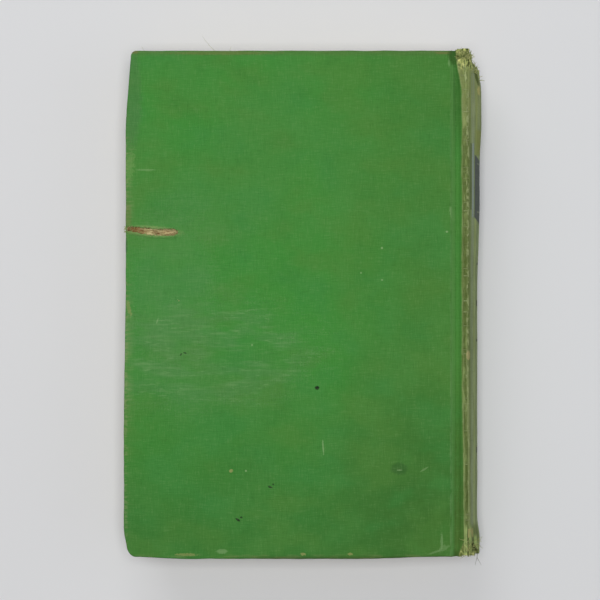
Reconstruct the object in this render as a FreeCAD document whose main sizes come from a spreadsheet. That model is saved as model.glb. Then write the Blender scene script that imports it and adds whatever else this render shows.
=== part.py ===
import FreeCAD, Part
import os

import Sketcher

# A worn cloth-bound book in its hard case. It lies on its front cover, with the spine at +X,
# the head of the book at +Y and the back cover on top. The origin is under the middle of the
# book, on the surface that it lies on. All sizes are in millimetres.

SIZES = {
    # the book block
    "text_thick": 28.0,  # all the leaves together
    "square": 3.0,  # how far the covers stand out past the leaves
    "fore_hollow": 4.0,  # depth of the hollow fore-edge
    "back_round": 4.1,  # how far the rounded back stands out past its shoulders
    "back_inset": 0.5,  # from the back's round to the edge of the shoulder's crest
    "paper": 0.2,  # one leaf of an endpaper
    # the case
    "book_height": 210.0,
    "board_width": 134.0,
    "board_thick": 2.3,
    "cloth": 0.4,
    "turn_in": 15.0,  # cloth folded over the edges of the boards and the spine
    "paste_inset": 3.0,  # bare rim of cloth round a pastedown
    "joint_width": 5.1,  # from a board's edge to its hinge line
    "crest_width": 2.1,  # flat top of the shoulder, from the hinge line
    "crest_drop": 0.9,  # crest of the shoulder below the face of the cover
    "spine_round": 6.8,  # how far the spine stands out past the crest
    "slip": 0.2,  # gap between the cover and the shoulder that it turns on
    "glue": 0.1,  # between curved layers
    # linings
    "mull": 0.3,  # gauze over the back of the leaves
    "mull_inset": 1.6,  # from the folded cloth at head and tail
    "mull_reach": 25.0,  # gauze on the inside of each board
    "liner": 0.25,  # paper over the gauze
    "liner_width": 18.0,
    "liner_inset": 3.0,  # from the head and the tail of the leaves
    "inlay": 0.8,  # card inside the cloth of the spine
    "inlay_width": 26.0,
    # rounded corners at the fore-edge
    "sharp_corner": 1.6,
    "worn_corner": 4.0,
    "lean": 2.3,  # how far the back cover's head corner is worn inwards
    "lean_reach": 29.0,
    # the gash in the cloth of the back cover
    "gash_start": 0.8,  # from the fore-edge
    "gash_length": 22.3,
    "gash_width": 4.4,
    "gash_place": 30.2,  # towards the head from the middle
    "gash_depth": 0.4,  # into the board
    # the spine's torn head: places inwards from the spine and down from the head
    "tear_reach": 5.2,
    "tear_corner": 4.0,
    "tear_slope": 9.0,
    "tear_foot": 15.0,
    # the hole worn at the spine's tail
    "hole_inset": 3.1,
    "hole_width": 1.7,
    "hole_height": 3.2,
    "hole_place": 2.3,  # up from the tail
}

# Places worked out from the sizes. A level is a distance from the middle of the thickness.
PLACES = {
    "leaf": "Size.text_thick / 2",
    "paste_in": "leaf + Size.paper",
    "paste_out": "paste_in + Size.paper",
    "board_in": "paste_out + Size.cloth",
    "board_out": "board_in + Size.board_thick",
    "mid": "board_out + Size.cloth",
    "crest_out": "mid - Size.crest_drop",
    "crest_in": "crest_out - Size.cloth",
    "crest_text": "crest_in - Size.mull",
    "book_half": "Size.book_height / 2",
    "board_half": "book_half - Size.cloth",
    "text_half": "book_half - Size.square",
    "mull_half": "board_half - Size.turn_in - Size.mull_inset",
    "spine_x": "(Size.cloth + Size.board_width + Size.joint_width + Size.crest_width"
    " + Size.spine_round) / 2",
    "board_fore": "Size.cloth - spine_x",
    "board_spine": "board_fore + Size.board_width",
    "hinge_x": "board_spine + Size.joint_width",
    "crest_end": "hinge_x + Size.crest_width",
    "text_fore": "Size.square - spine_x",
    "fold_x": "hinge_x - crest_in + leaf",
    "flank_x": "hinge_x - crest_out + board_in + Size.cloth",
    "fore_arc": "(leaf ^ 2 + Size.fore_hollow ^ 2) / (2 * Size.fore_hollow)",
    "fore_middle": "text_fore + Size.fore_hollow - fore_arc",
    "back_arc": "(crest_in ^ 2 + Size.back_round ^ 2) / (2 * Size.back_round)",
    "back_start": "crest_end - Size.back_inset",
    "back_middle": "back_start + Size.back_round - back_arc",
    "spine_arc": "(crest_out ^ 2 + Size.spine_round ^ 2) / (2 * Size.spine_round)",
    "spine_middle": "spine_x - spine_arc",
}

COVER = {"front": "-", "back": "+"}
NEAR = 1e-4

doc = FreeCAD.newDocument("Book")


def make_sheet(name, cells):
    """A spreadsheet whose cells have the given aliases."""
    sheet = doc.addObject("Spreadsheet::Sheet", name)
    for row, (alias, value) in enumerate(cells.items(), start=1):
        sheet.set(f"A{row}", alias)
        sheet.set(f"B{row}", value if isinstance(value, str) else str(value))
        sheet.setAlias(f"B{row}", alias)
    return sheet


size = make_sheet("Size", SIZES)
doc.recompute()
place = make_sheet("Place", {alias: f"={formula}" for alias, formula in PLACES.items()})
doc.recompute()


def value(expression):
    """What an expression on the two sheets comes to, as a number."""
    return float(place.evalExpression(expression))


def level(side, distance):
    """The height of a level, above the middle for the back cover and below it for the front."""
    return f"Place.mid {COVER[side]} ({distance})"


def between(side, inner, outer):
    """The lower and the upper height of a layer between two levels."""
    low, high = (inner, outer) if side == "back" else (outer, inner)
    return level(side, low), level(side, high)


def chord(middle, radius, height):
    """Where an arc about a middle on the X axis reaches a level."""
    return f"{middle} + sqrt(({radius}) ^ 2 - ({height}) ^ 2)"


def box(name, left, right, half, low, high):
    """A block from left to right, reaching half to the head and to the tail."""
    block = doc.addObject("Part::Box", name)
    block.Label = name
    block.setExpression("Length", f"({right}) - ({left})")
    block.setExpression("Width", f"2 * ({half})")
    block.setExpression("Height", f"({high}) - ({low})")
    block.setExpression("Placement.Base.x", left)
    block.setExpression("Placement.Base.y", f"-({half})")
    block.setExpression("Placement.Base.z", low)
    return block


def plane(body, role):
    """One of a body's own origin planes."""
    return next(p for p in body.Origin.OriginFeatures if p.Role == role)


def pin(sketch, geometry, position, axis, expression):
    """Hold one coordinate of a sketch's point at an expression."""
    rule = Sketcher.Constraint(axis, geometry, position, value(expression))
    number = sketch.addConstraint(rule)
    sketch.setExpression(f"Constraints[{number}]", expression)


def draw(body, role, points, arcs):
    """A closed outline through points. An arc's edge number gives the place of its middle on X."""
    sketch = body.newObject("Sketcher::SketchObject", body.Name + "_outline")
    sketch.AttachmentSupport = [(plane(body, role), "")]
    sketch.MapMode = "FlatFace"
    flat = [FreeCAD.Vector(value(x), value(y), 0) for x, y in points]
    ends = []
    for edge, (start, end) in enumerate(zip(flat, flat[1:] + flat[:1])):
        if edge not in arcs:
            ends.append((sketch.addGeometry(Part.LineSegment(start, end)), 1, 2))
            continue
        middle = FreeCAD.Vector(value(arcs[edge]), value("Place.mid"), 0)
        low, high = sorted((start, end), key=lambda point: point.y)
        crown = middle + FreeCAD.Vector((low - middle).Length, 0, 0)
        number = sketch.addGeometry(Part.Arc(low, crown, high))
        ends.append((number, 1, 2) if start is low else (number, 2, 1))
        pin(sketch, number, 3, "DistanceX", arcs[edge])
    for edge, (x, y) in enumerate(points):
        number, first, _ = ends[edge]
        before, _, last = ends[edge - 1]
        sketch.addConstraint(Sketcher.Constraint("Coincident", before, last, number, first))
        pin(sketch, number, first, "DistanceX", x)
        pin(sketch, number, first, "DistanceY", y)
    return sketch


def section(name, points, length, arcs={}):
    """A body with one section all the way from tail to head."""
    body = doc.addObject("PartDesign::Body", name)
    body.Label = name
    sketch = draw(body, "XZ_Plane", points, arcs)
    pad = body.newObject("PartDesign::Pad", name + "_length")
    pad.Profile = sketch
    pad.SideType = "Symmetric"
    pad.setExpression("Length", length)
    return body


def plate(name, points, low, high, corners={}):
    """A flat body with an outline seen from above, and some of its corners rounded."""
    body = doc.addObject("PartDesign::Body", name)
    body.Label = name
    sketch = draw(body, "XY_Plane", points, {})
    sketch.setExpression("AttachmentOffset.Base.z", low)
    pad = body.newObject("PartDesign::Pad", name + "_thickness")
    pad.Profile = sketch
    pad.setExpression("Length", f"({high}) - ({low})")
    for corner, radius in corners.items():
        doc.recompute()
        x, y = (value(coordinate) for coordinate in points[corner])
        base = body.Tip
        names = [
            f"Edge{number}"
            for number, edge in enumerate(base.Shape.Edges, start=1)
            if all(abs(v.X - x) + abs(v.Y - y) < NEAR for v in edge.Vertexes)
        ]
        fillet = body.newObject("PartDesign::Fillet", f"{name}_corner{corner}")
        fillet.Base = (base, names)
        fillet.setExpression("Radius", radius)
    return body


def shell(name, middle, outer, inner, half_width, length):
    """A curved layer between two arcs about one middle."""
    points = [
        (chord(middle, outer, half_width), level("front", half_width)),
        (chord(middle, outer, half_width), level("back", half_width)),
        (chord(middle, inner, half_width), level("back", half_width)),
        (chord(middle, inner, half_width), level("front", half_width)),
    ]
    return section(name, points, length, {0: middle, 2: middle})


def fuse(name, pieces):
    joined = doc.addObject("Part::MultiFuse", name)
    joined.Label = name
    joined.Shapes = pieces
    return joined


def cut(name, base, tools):
    tool = tools[0] if len(tools) == 1 else fuse(name + "_tools", tools)
    result = doc.addObject("Part::Cut", name)
    result.Label = name
    result.Base = base
    result.Tool = tool
    return result


def both_ways(points):
    """The points below the middle, and then the same points mirrored above it."""
    low = [(x, level("front", height)) for x, height in points]
    high = [(x, level("back", height)) for x, height in reversed(points)]
    return low + high


def make_text_block():
    """All the leaves as one solid: hollow fore-edge, shoulders and a rounded back."""
    flank = "Size.slip + Size.mull * sqrt(2)"
    points = both_ways([
        ("Place.text_fore", "Place.leaf"),
        (f"Place.fold_x + {flank}", "Place.leaf"),
        (f"Place.fold_x + {flank} + Place.crest_text - Place.leaf", "Place.crest_text"),
        (chord("Place.back_middle", "Place.back_arc - Size.mull", "Place.crest_text"),
         "Place.crest_text"),
    ])
    arcs = {3: "Place.back_middle", 7: "Place.fore_middle"}
    return section("text_block", points, "2 * Place.text_half", arcs)


def make_mull():
    """Gauze glued over the back and the shoulders of the leaves."""
    foot = "Place.fold_x + Size.slip"
    skin = "Size.mull * sqrt(2)"
    outer = [
        (foot, "Place.leaf"),
        (f"{foot} + Place.crest_in - Place.leaf", "Place.crest_in"),
        ("Place.back_start", "Place.crest_in"),
    ]
    inner = [
        (chord("Place.back_middle", "Place.back_arc - Size.mull", "Place.crest_text"),
         "Place.crest_text"),
        (f"{foot} + {skin} + Place.crest_text - Place.leaf", "Place.crest_text"),
        (f"{foot} + {skin}", "Place.leaf"),
    ]
    points = both_ways(outer)
    points += [(x, level("back", height)) for x, height in reversed(inner)]
    points += [(x, level("front", height)) for x, height in inner]
    arcs = {2: "Place.back_middle", 8: "Place.back_middle"}
    return section("mull", points, "2 * Place.mull_half", arcs)


def make_spine_liner():
    """Stiff paper glued over the gauze on the back."""
    outer = "Place.back_arc + Size.glue + Size.liner"
    inner = "Place.back_arc + Size.glue"
    return shell("spine_liner", "Place.back_middle", outer, inner, "Size.liner_width / 2",
                 "2 * (Place.text_half - Size.liner_inset)")


def make_tear():
    """What has been torn away at the head of the spine, seen from above."""
    past = "Place.spine_x + Size.cloth"
    head = "Place.book_half"
    points = [
        ("Place.spine_x - Size.tear_reach", f"{head} + Size.cloth"),
        ("Place.spine_x - Size.tear_reach + Size.cloth", f"{head} - Size.tear_corner"),
        ("Place.spine_x - 1.5 * Size.cloth", f"{head} - Size.tear_slope"),
        (past, f"{head} - Size.tear_foot"),
        (past, f"{head} + Size.cloth"),
    ]
    return plate("torn_head", points, "0", "2 * Place.mid")


def make_tail_hole():
    """What has worn away near the tail of the spine, on the side of the back cover."""
    left = "Place.spine_x - Size.hole_inset - Size.hole_width"
    right = "Place.spine_x - Size.hole_inset"
    low = "Size.hole_place - Place.book_half"
    high = f"{low} + Size.hole_height"
    points = [(left, low), (right, low), (right, high), (left, high)]
    return plate("worn_hole", points, "Place.mid", "2 * Place.mid")


def make_spine(tear, hole):
    """The cloth of the spine over a strip of card. It is folded in at the tail and torn at the head."""
    middle = "Place.spine_middle"
    outer = "Place.spine_arc"
    inside = "Place.spine_arc - Size.cloth"
    card = f"{inside} - Size.glue - Size.inlay"
    folded = f"{card} - Size.glue - Size.cloth"
    width = "Size.inlay_width / 2"
    points = both_ways([("Place.hinge_x", "Place.crest_out"), ("Place.crest_end", "Place.crest_out")])
    points += [
        ("Place.hinge_x", level("back", "Place.crest_in")),
        (chord(middle, inside, "Place.crest_in"), level("back", "Place.crest_in")),
        (chord(middle, inside, "Place.crest_in"), level("front", "Place.crest_in")),
        ("Place.hinge_x", level("front", "Place.crest_in")),
    ]
    skin = section("spine_skin", points, "Size.book_height", {1: middle, 5: middle})
    sleeve = shell("spine_sleeve", middle, inside, folded, width, "Size.book_height")
    room = shell("inlay_room", middle, inside, f"{card} - Size.glue", width, "Size.book_height")
    room.setExpression("Placement.Base.y", "Size.cloth")
    unfolded = shell("unfolded_length", middle, f"{card} - Size.glue", f"{folded} - Size.glue",
                     f"{width} + Size.glue", "Size.book_height")
    unfolded.setExpression("Placement.Base.y", "Size.turn_in")
    strip = shell("inlay_strip", middle, f"{inside} - Size.glue", card, f"{width} - Size.glue",
                  "2 * (Place.board_half - Size.glue)")
    cloth = cut("spine_cloth", fuse("spine_blank", [skin, sleeve]), [room, unfolded, tear, hole])
    return [cloth, cut("spine_inlay", strip, [tear, hole])]


def cover_outline(side, grow):
    """A cover's outline from above, and the radii of its two outer corners."""
    head = f"Place.board_half + {grow}"
    tail = f"-(Place.board_half + {grow})"
    fore = f"Place.board_fore - {grow}"
    inner = f"Place.board_spine + {grow}"
    if side == "front":
        points = [(inner, tail), (inner, head), (fore, head), (fore, tail)]
        return points, {2: f"Size.sharp_corner + {grow}", 3: f"Size.sharp_corner + {grow}"}
    turn = "Place.board_half - Size.lean_reach"
    leaned = f"{fore} + Size.lean * (Size.lean_reach + {grow}) / Size.lean_reach"
    points = [(inner, tail), (inner, head), (leaned, head), (fore, turn), (fore, tail)]
    return points, {2: f"Size.sharp_corner + {grow}", 4: f"Size.worn_corner + {grow}"}


def make_gash(depth):
    """What is missing at the gash: an opening that narrows away from the fore-edge."""
    left = "Place.board_fore - Size.cloth + Size.gash_start"
    top = "Size.gash_place + Size.gash_width / 2"
    bottom = "Size.gash_place - Size.gash_width / 2"
    points = [
        (left, f"{top} - Size.gash_width / 5"),
        (left, f"{bottom} + Size.gash_width / 5"),
        (f"{left} + Size.gash_length / 2", bottom),
        (f"{left} + Size.gash_length", f"{bottom} + Size.gash_width / 5"),
        (f"{left} + Size.gash_length / 2", f"{top} - Size.gash_width / 5"),
        (f"{left} + Size.gash_length / 5", top),
    ]
    low = level("back", f"Place.board_out - {depth}")
    return plate(f"gash_{len(doc.Objects)}", points, low, "2 * Place.mid + Size.cloth")


def make_board(side):
    points, corners = cover_outline(side, "0")
    name = f"{side}_board"
    low, high = between(side, "Place.board_in", "Place.board_out")
    if side == "front":
        return plate(name, points, low, high, corners)
    whole = plate("back_board_whole", points, low, high, corners)
    return cut(name, whole, [make_gash("Size.gash_depth")])


def make_cover_cloth(side):
    """Cloth over a board, folded in at three edges and running through the groove to the hinge."""
    points, corners = cover_outline(side, "Size.cloth")
    low, high = between(side, "Place.paste_out", "Place.mid")
    wrap = plate(f"{side}_wrap", points, low, high, corners)
    end = "Place.hinge_x - Size.slip"
    groove = section(f"{side}_groove", [
        ("Place.board_spine", level(side, "Place.board_in + Size.cloth")),
        ("Place.flank_x", level(side, "Place.board_in + Size.cloth")),
        (end, level(side, "Place.crest_out - Size.slip")),
        (end, level(side, "Place.crest_in - Size.slip")),
        ("Place.flank_x", level(side, "Place.board_in")),
        ("Place.board_spine", level(side, "Place.board_in")),
    ], "Size.book_height")
    low, high = between(side, "Place.paste_out", "Place.board_in")
    folded = box(f"{side}_folded", "Place.board_spine", "Place.fold_x", "Place.book_half", low, high)
    points, corners = cover_outline(side, "0")
    low, high = between(side, "Place.board_in", "Place.board_out")
    room = plate(f"{side}_board_room", points, low, high, corners)
    low, high = between(side, "Place.paste_in", "Place.board_in")
    window = box(f"{side}_window", "Place.board_fore + Size.turn_in", "Place.fold_x + Size.cloth",
                 "Place.board_half - Size.turn_in", low, high)
    tools = [room, window]
    if side == "back":
        tools.append(make_gash("0"))
    return cut(f"{side}_cloth", fuse(f"{side}_cloth_blank", [wrap, groove, folded]), tools)


def make_mull_flange(side):
    """The gauze where it is glued to the inside of a board and crosses the groove."""
    low, high = between(side, "Place.board_in - Size.mull", "Place.board_in")
    left = "Place.board_spine - Size.mull_reach"
    return box(f"{side}_mull_flange", left, "Place.fold_x", "Place.mull_half", low, high)


def make_pastedown(side):
    """The endpaper on a board: it lies over the folded cloth and the gauze, and dips between."""
    low, high = between(side, "Place.paste_in", "Place.paste_out")
    rim = box(f"{side}_rim", "Place.board_fore + Size.paste_inset", "Place.fold_x",
              "Place.board_half - Size.paste_inset", low, high)
    left = "Place.board_fore + Size.turn_in"
    right = "Place.board_spine - Size.mull_reach"
    half = "Place.board_half - Size.turn_in"
    low, high = between(side, "Place.paste_in", "Place.board_in")
    tray = box(f"{side}_tray", left, right, half, low, high)
    low, high = between(side, "Place.leaf", "Place.board_in - Size.paper")
    dip = box(f"{side}_dip", f"{left} + Size.paper", f"{right} - Size.paper",
              f"{half} - Size.paper", low, high)
    return cut(f"{side}_pastedown", fuse(f"{side}_sheet", [rim, tray]), [dip])


def make_flyleaf(side):
    low, high = between(side, "Place.leaf", "Place.paste_in")
    return box(f"{side}_flyleaf", "Place.text_fore", "Place.fold_x", "Place.text_half", low, high)


pieces = [make_text_block(), make_mull(), make_spine_liner()]
pieces += make_spine(make_tear(), make_tail_hole())
for cover in COVER:
    pieces.append(make_flyleaf(cover))
    pieces.append(make_board(cover))
    pieces.append(make_cover_cloth(cover))
    pieces.append(make_mull_flange(cover))
    pieces.append(make_pastedown(cover))

doc.recompute()

for item in doc.Objects:
    if {"Invalid", "Error"} & set(item.State):
        raise RuntimeError(f"{item.Label} did not build: {item.State}")
for piece in pieces:
    if piece.Shape.isNull() or not piece.Shape.isValid() or len(piece.Shape.Solids) != 1:
        raise RuntimeError(f"{piece.Label} is not one good solid")

os.makedirs("parts", exist_ok=True)
for piece in pieces:
    piece.Shape.exportStep(f"parts/{piece.Label}.step")
    corner = piece.Shape.BoundBox
    print(f"{piece.Label}: {piece.Shape.Volume:.1f} mm3, x {corner.XMin:.2f} to {corner.XMax:.2f},"
          f" y {corner.YMin:.2f} to {corner.YMax:.2f}, z {corner.ZMin:.2f} to {corner.ZMax:.2f}")
print("hinge:", value("Place.hinge_x"), value("Place.mid + Place.crest_out"))
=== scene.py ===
import math
import random

import bmesh
import bpy
from mathutils import Matrix, Vector, noise


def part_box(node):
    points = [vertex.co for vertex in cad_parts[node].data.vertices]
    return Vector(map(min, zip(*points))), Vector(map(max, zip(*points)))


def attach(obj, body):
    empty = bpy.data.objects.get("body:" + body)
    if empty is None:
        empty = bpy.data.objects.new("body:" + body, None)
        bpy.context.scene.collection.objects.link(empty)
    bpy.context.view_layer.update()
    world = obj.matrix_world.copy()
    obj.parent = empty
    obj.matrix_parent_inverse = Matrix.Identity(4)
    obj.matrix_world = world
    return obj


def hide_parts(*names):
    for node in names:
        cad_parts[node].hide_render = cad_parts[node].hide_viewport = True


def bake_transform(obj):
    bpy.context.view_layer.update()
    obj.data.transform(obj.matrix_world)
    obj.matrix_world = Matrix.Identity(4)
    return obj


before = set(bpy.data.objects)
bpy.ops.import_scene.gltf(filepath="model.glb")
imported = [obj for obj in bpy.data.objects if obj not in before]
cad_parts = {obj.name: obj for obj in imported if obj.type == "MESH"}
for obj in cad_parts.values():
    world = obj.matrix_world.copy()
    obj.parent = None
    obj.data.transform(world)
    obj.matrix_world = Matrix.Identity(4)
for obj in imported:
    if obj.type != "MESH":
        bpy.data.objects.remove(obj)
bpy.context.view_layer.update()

MM = 0.001

# Places of the book, read from the frame, in millimetres
LOW, HIGH = (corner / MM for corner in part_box("back_cloth"))
BOARD_LOW, BOARD_HIGH = (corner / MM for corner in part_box("back_board"))
SPINE_LOW, SPINE_HIGH = (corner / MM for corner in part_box("spine_cloth"))
TEXT_LOW, TEXT_HIGH = (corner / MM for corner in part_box("text_block"))
PASTE_LOW, PASTE_HIGH = (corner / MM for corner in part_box("back_pastedown"))
GAUZE_LOW, GAUZE_HIGH = (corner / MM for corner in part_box("back_mull_flange"))
FLYLEAF_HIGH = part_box("back_flyleaf")[1] / MM
CARD_LOW, CARD_HIGH = (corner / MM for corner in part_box("spine_inlay"))
FORE = LOW.x  # fore-edge of the covers
HEAD = HIGH.y
TAIL = LOW.y
TOP = HIGH.z
MID = TOP / 2  # half the thickness of the book
EDGE = BOARD_HIGH.x  # the boards' edge along the groove
HINGE = SPINE_LOW.x
CREST = SPINE_HIGH.z  # top of the shoulder
SPINE = SPINE_HIGH.x  # the spine's furthest line
CLOTH = TOP - BOARD_HIGH.z
GROOVE = BOARD_LOW.z + CLOTH  # the cloth's face in the groove

# Sizes that the frame doesn't give, in millimetres
CREST_WIDTH = 2.1
TURN_IN = 15.0
LEAN = 2.3
LEAN_REACH = 29.0
CARD = 0.8
PAPER = 0.2
GAUZE = 0.3
WAIST = 1.0  # how far the spine has sunk in at its middle
BULGE = 0.7  # how far it stands out below its torn head
HEAD_FLARE = 2.6  # how far the shoulder spreads over the groove at the head
TAIL_FLARE = 1.1
BEND = 1.4  # width of the finely cut strip beside the hinge line
TAIL_DRAW = 0.8  # how far the shoulder draws back above its flare at the tail
GROOVE_WALL = 2.3  # how far the cloth's slope into the groove reaches
FORE_CORNER = {"front": 2.0, "back": 3.8}  # radius of the worn corner at the tail
GASH_LENGTH = 21.4
GASH_Y = 31.0  # where the gash starts along the fore-edge

CREST_END = HINGE + CREST_WIDTH
SPINE_RISE = SPINE - CREST_END
SPINE_ARC = ((CREST - MID) ** 2 + SPINE_RISE ** 2) / (2 * SPINE_RISE)
SPINE_MIDDLE = SPINE - SPINE_ARC
SPINE_TURN = math.asin((CREST - MID) / SPINE_ARC)
TORN_FLOOR = BOARD_HIGH.z - 0.3
GASH_START = FORE + 0.5
FOLD_FOOT = HINGE - (CREST - PASTE_LOW.z) + 0.64  # where the pastedown starts up the shoulder
OPEN_EDGE = 2 * HINGE - EDGE  # where the back board's edge comes when it lies open
OPEN_FACE = 2 * CREST - TOP  # how high the underside of the open back cover is

# What the photograph's frame shows: where it is centred, and its width on the back cover
VIEW_X = -1.9
VIEW_Y = 1.55
VIEW_WIDTH = 248.8
CAMERA_ABOVE = 750.0

REST_PLACE = "place_at_rest"  # where each point of a piece lies when the book is closed


def smooth(low, high, value):
    """0 up to low, 1 from high on, and a smooth rise between them."""
    share = min(1.0, max(0.0, (value - low) / (high - low)))
    return share * share * (3 - 2 * share)


def flare(y):
    """How far the shoulder spreads over the groove at a height along the book."""
    tail = (TAIL_FLARE + TAIL_DRAW) * smooth(TAIL + 7, TAIL, y) - TAIL_DRAW * smooth(-25, -85, y)
    return HEAD_FLARE * smooth(HEAD - 19, HEAD, y) + tail


def wander(place, scale, seed=0.0):
    """A smooth random number from -1 to 1 that changes over about the given length."""
    return noise.noise(place / scale + Vector((seed, seed * 1.7, -seed)))


class Share:
    """A value that the nodes of a finish work out at each point, with the usual arithmetic."""

    def __init__(self, finish, socket):
        self.finish = finish
        self.socket = socket

    def __add__(self, other):
        return self.finish.math("ADD", self, other)

    def __sub__(self, other):
        return self.finish.math("SUBTRACT", self, other)

    def __mul__(self, other):
        return self.finish.math("MULTIPLY", self, other)

    def size(self):
        """The value without its sign."""
        return self.finish.math("ABSOLUTE", self)

    def rise(self, low, high, start=0.0, end=1.0):
        """From start to end, smoothly, as the value goes from low to high."""
        made = self.finish.node("ShaderNodeMapRange", interpolation_type="SMOOTHSTEP")
        for given, socket in zip((self, low, high, start, end), made.inputs):
            self.finish.join(given, socket)
        return Share(self.finish, made.outputs[0])

    def fall(self, low, high):
        """1 up to low, 0 from high on, and a smooth fall between them."""
        return self.rise(low, high, 1.0, 0.0)

    def band(self, low, high, soft):
        """1 between low and high, and 0 a soft width outside them."""
        return self.rise(low - soft, low) * self.fall(high, high + soft)


class Finish:
    """A material whose colour, roughness and relief come from its nodes.

    It starts with one colour, and each coat of paint goes over what is there.
    """

    def __init__(self, name, roughness, colour, follows=False):
        self.colour = tint(*colour)
        self.material = bpy.data.materials.new(name)
        self.material.use_nodes = True
        self.tree = self.material.node_tree
        self.shader = self.tree.nodes["Principled BSDF"]
        self.shader.inputs["Roughness"].default_value = roughness
        self.shader.inputs["Specular IOR Level"].default_value = 0.12
        if follows:
            rest = self.node("ShaderNodeAttribute", attribute_name=REST_PLACE)
            self.place = rest.outputs["Vector"]
        else:
            scaled = self.node("ShaderNodeVectorMath", operation="SCALE")
            scaled.inputs["Scale"].default_value = 1 / MM
            self.join(self.node("ShaderNodeTexCoord").outputs["Object"], scaled.inputs[0])
            self.place = scaled.outputs[0]
        parts = self.node("ShaderNodeSeparateXYZ")
        self.join(self.place, parts.inputs[0])
        self.x, self.y, self.z = (Share(self, socket) for socket in parts.outputs)

    def node(self, kind, **settings):
        made = self.tree.nodes.new(kind)
        for name, setting in settings.items():
            setattr(made, name, setting)
        return made

    def join(self, value, socket):
        """Link a node's output to a socket, or set the socket to a plain value."""
        if isinstance(value, Share):
            value = value.socket
        if isinstance(value, bpy.types.NodeSocket):
            self.tree.links.new(value, socket)
        elif isinstance(value, tuple):
            socket.default_value = (*value, 1.0)
        else:
            socket.default_value = value

    def math(self, operation, *values):
        made = self.node("ShaderNodeMath", operation=operation)
        for value, socket in zip(values, made.inputs):
            self.join(value, socket)
        return Share(self, made.outputs[0])

    def most(self, first, second):
        return self.math("MAXIMUM", first, second)

    def mix(self, share, first, second):
        made = self.node("ShaderNodeMix", data_type="RGBA")
        self.join(share, made.inputs["Factor"])
        self.join(first, made.inputs[6])
        self.join(second, made.inputs[7])
        return Share(self, made.outputs[2])

    def paint(self, share, red, green, blue):
        """Put a tint over the colour, as far as the share says."""
        self.colour = self.mix(share, self.colour, tint(red, green, blue))

    def cloud(self, scale, detail=2.0, shift=0.0):
        """Smooth noise, about 0 to 1, over lengths of scale millimetres along each axis."""
        stretch = self.node("ShaderNodeMapping", vector_type="TEXTURE")
        self.join(self.place, stretch.inputs["Vector"])
        stretch.inputs["Scale"].default_value = scale if isinstance(scale, tuple) else [scale] * 3
        made = self.node("ShaderNodeTexNoise", noise_dimensions="4D")
        self.join(stretch.outputs[0], made.inputs["Vector"])
        made.inputs["W"].default_value = shift
        made.inputs["Scale"].default_value = 1.0
        made.inputs["Detail"].default_value = detail
        return Share(self, made.outputs["Fac"])

    def spot(self, x, y, wide, tall, ragged=0.5, turn=0.0):
        """1 inside an uneven oval on a cover and 0 outside it."""
        cos, sin = math.cos(math.radians(turn)), math.sin(math.radians(turn))
        across, up = self.x - x, self.y - y
        near = (across * cos + up * sin) * (2 / wide)
        off = (up * cos - across * sin) * (2 / tall)
        far = self.math("SQRT", near * near + off * off)
        rough = (self.cloud(0.7, 2.0, x) - 0.5) * (2 * ragged)
        return (far + rough).fall(0.7, 1.25)

    def relief(self, height, depth, finer=None):
        """Relief of the given depth in millimetres, over any finer relief."""
        made = self.node("ShaderNodeBump")
        self.join(height, made.inputs["Height"])
        made.inputs["Distance"].default_value = depth * MM
        if finer is not None:
            self.join(finer, made.inputs["Normal"])
        return made.outputs[0]

    def done(self, normal=None, roughness=None):
        found = ((self.colour, "Base Color"), (normal, "Normal"), (roughness, "Roughness"))
        for value, name in found:
            if value is not None:
                self.join(value, self.shader.inputs[name])
        return self.material


def tint(red, green, blue):
    """A colour given as it shows on a screen, from 0 to 255, as the shaders need it."""
    shown = [part / 255 for part in (red, green, blue)]
    return tuple(p / 12.92 if p < 0.04045 else ((p + 0.055) / 1.055) ** 2.4 for p in shown)


def weave(f):
    """Plain linen weave: uneven warp and weft threads, and the relief that they make."""
    warp = f.cloud((0.42, 3.6, 0.42), 1.0, 3.0)
    weft = f.cloud((3.6, 0.42, 3.6), 1.0, 8.0)
    return warp * 0.4 + weft * 0.4 + f.cloud(0.5, 2.0, 5.0) * 0.2


def cloth_finish():
    """Green book cloth: mottled and rubbed on the covers, faded to olive on the spine."""
    f = Finish("green_book_cloth", 0.8, (60, 132, 51), follows=True)
    threads = weave(f)
    upper = f.z.rise(MID + 5, MID + 9)

    # the face of the covers
    patch = f.cloud(13, 3.0, 2.0)
    hue = f.cloud((24, 17, 20), 3.0, 18.0)
    f.paint(f.cloud(55, 2.0, 1.0).rise(0.38, 0.62), 66, 129, 55)
    # darker towards the spine and the tail: partly the cloth's own colour, partly painted shade for
    # light falling off away from the head and fore-edge
    f.paint(f.x.rise(0, 55), 66, 121, 50)
    f.paint(f.y.fall(-105, -20) * 0.9, 57, 114, 47)
    f.paint(f.y.fall(-105, -10) * f.x.rise(-10, 55) * 0.8, 58, 101, 40)
    f.paint(hue.rise(0.48, 0.66) * 0.4, 78, 124, 52)
    f.paint(hue.fall(0.34, 0.5) * 0.35, 56, 128, 60)
    f.paint(patch.rise(0.45, 0.75) * 0.3, 74, 134, 62)
    f.paint(patch.fall(0.25, 0.48) * 0.3, 50, 114, 45)

    paint_rubs(f, upper)
    paint_marks(f, upper)
    streak = f.cloud((0.8, 30, 0.8), 2.0, 11.0)
    broken = f.cloud((1.2, 4.0, 1.2), 3.0, 12.0)
    paint_groove(f, upper, broken)
    spine, worn = paint_shoulder(f, upper, streak, broken)
    paint_print(f, spine, streak)
    worn = worn + paint_torn_ends(f, spine, upper, broken)

    # threads show as slightly lighter and darker specks
    f.paint(threads.rise(0.5, 0.68) * 0.16, 120, 158, 96)
    f.paint(threads.fall(0.3, 0.5) * 0.22, 40, 74, 30)
    relief = f.relief(threads, 0.16, f.relief(patch, 0.25, f.relief(worn, 0.35)))
    return f.done(relief, threads.rise(0.2, 0.8, 0.86, 0.7))


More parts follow.
